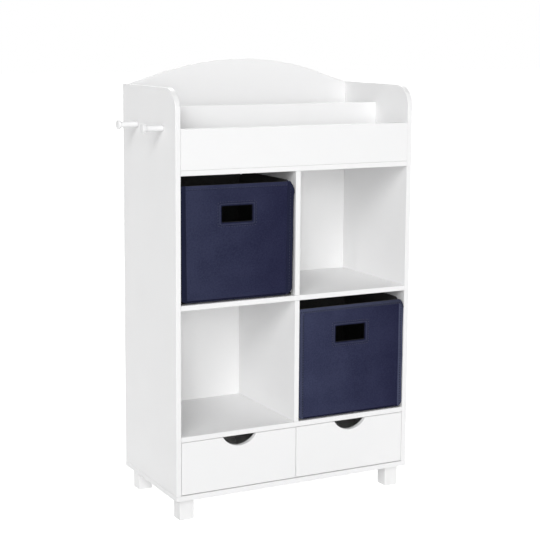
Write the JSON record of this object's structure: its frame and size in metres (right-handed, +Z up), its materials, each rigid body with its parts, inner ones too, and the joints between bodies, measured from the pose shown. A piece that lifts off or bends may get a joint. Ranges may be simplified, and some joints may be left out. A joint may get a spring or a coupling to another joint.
{
  "type": "cubby storage cabinet",
  "caption": "White child's storage cabinet: open cubbies, sliding drawers, pull-out felt bins, a two-pocket book rack with an arched crest, side coat pegs and block feet.",
  "frame": {"origin": "on the floor, under the middle of the whole object's bounding box, pegs included", "axes": "+Z up, the front of the cabinet faces -Y, +X to the right of someone looking at the front; the coat pegs stick out on the -X side"},
  "size_m": [0.65, 0.3, 1.016],
  "materials": {
    "white_board": "board with a smooth satin white coating",
    "white_painted_wood": "solid wood painted satin white",
    "white_hardboard": "thin hardboard with a white coated face",
    "navy_felt": "navy non-woven felt with stitched bindings",
    "dark_card": "stiff card covered in black fabric",
    "zinc_alloy": "die-cast zinc, dull grey",
    "plated_steel": "zinc-plated steel"
  },
  "bodies": {
    "cabinet": {"left_side_panel": "white_board", "right_side_panel": "white_board", "base_panel": "white_board", "lower_shelf": "white_board", "middle_shelf": "white_board", "top_shelf": "white_board", "drawer_divider": "white_board", "lower_divider": "white_board", "upper_divider": "white_board", "back_panel": "white_hardboard", "front_rail": "white_board", "mid_rail": "white_board", "crest_panel": "white_board", "foot_front_left": "white_painted_wood", "foot_front_right": "white_painted_wood", "foot_back_left": "white_painted_wood", "foot_back_right": "white_painted_wood", "foot_screw_front_left": "plated_steel", "foot_screw_front_right": "plated_steel", "foot_screw_back_left": "plated_steel", "foot_screw_back_right": "plated_steel", "front_peg": "white_painted_wood", "back_peg": "white_painted_wood", "front_peg_screw": "plated_steel", "back_peg_screw": "plated_steel", "base_screw_front_left": "plated_steel", "base_screw_front_right": "plated_steel", "base_screw_back_left": "plated_steel", "base_screw_back_right": "plated_steel", "middle_shelf_cam_front_left": "zinc_alloy", "middle_shelf_cam_front_right": "zinc_alloy", "middle_shelf_cam_back_left": "zinc_alloy", "middle_shelf_cam_back_right": "zinc_alloy", "middle_shelf_bolt_front_left": "plated_steel", "middle_shelf_bolt_front_right": "plated_steel", "middle_shelf_bolt_back_left": "plated_steel", "middle_shelf_bolt_back_right": "plated_steel", "top_shelf_cam_front_left": "zinc_alloy", "top_shelf_cam_front_right": "zinc_alloy", "top_shelf_cam_back_left": "zinc_alloy", "top_shelf_cam_back_right": "zinc_alloy", "top_shelf_bolt_front_left": "plated_steel", "top_shelf_bolt_front_right": "plated_steel", "top_shelf_bolt_back_left": "plated_steel", "top_shelf_bolt_back_right": "plated_steel"},
    "left_drawer": {"left_drawer_front": "white_board", "left_drawer_left_wall": "white_board", "left_drawer_right_wall": "white_board", "left_drawer_rear": "white_board", "left_drawer_bottom": "white_hardboard"},
    "right_drawer": {"right_drawer_front": "white_board", "right_drawer_left_wall": "white_board", "right_drawer_right_wall": "white_board", "right_drawer_rear": "white_board", "right_drawer_bottom": "white_hardboard"},
    "upper_bin": {"upper_bin_cover": "navy_felt", "upper_bin_floor_board": "dark_card"},
    "lower_bin": {"lower_bin_cover": "navy_felt", "lower_bin_floor_board": "dark_card"}
  },
  "joints": [
    {"name": "left_drawer_slide", "type": "slide", "parent": "cabinet", "child": "left_drawer", "axis": [0, -1, 0], "range_m": [0, 0.22]},
    {"name": "right_drawer_slide", "type": "slide", "parent": "cabinet", "child": "right_drawer", "axis": [0, -1, 0], "range_m": [0, 0.22]},
    {"name": "upper_bin_slide", "type": "slide", "parent": "cabinet", "child": "upper_bin", "axis": [0, -1, 0], "range_m": [0, 0.3]},
    {"name": "lower_bin_slide", "type": "slide", "parent": "cabinet", "child": "lower_bin", "axis": [0, -1, 0], "range_m": [0, 0.3]}
  ]
}
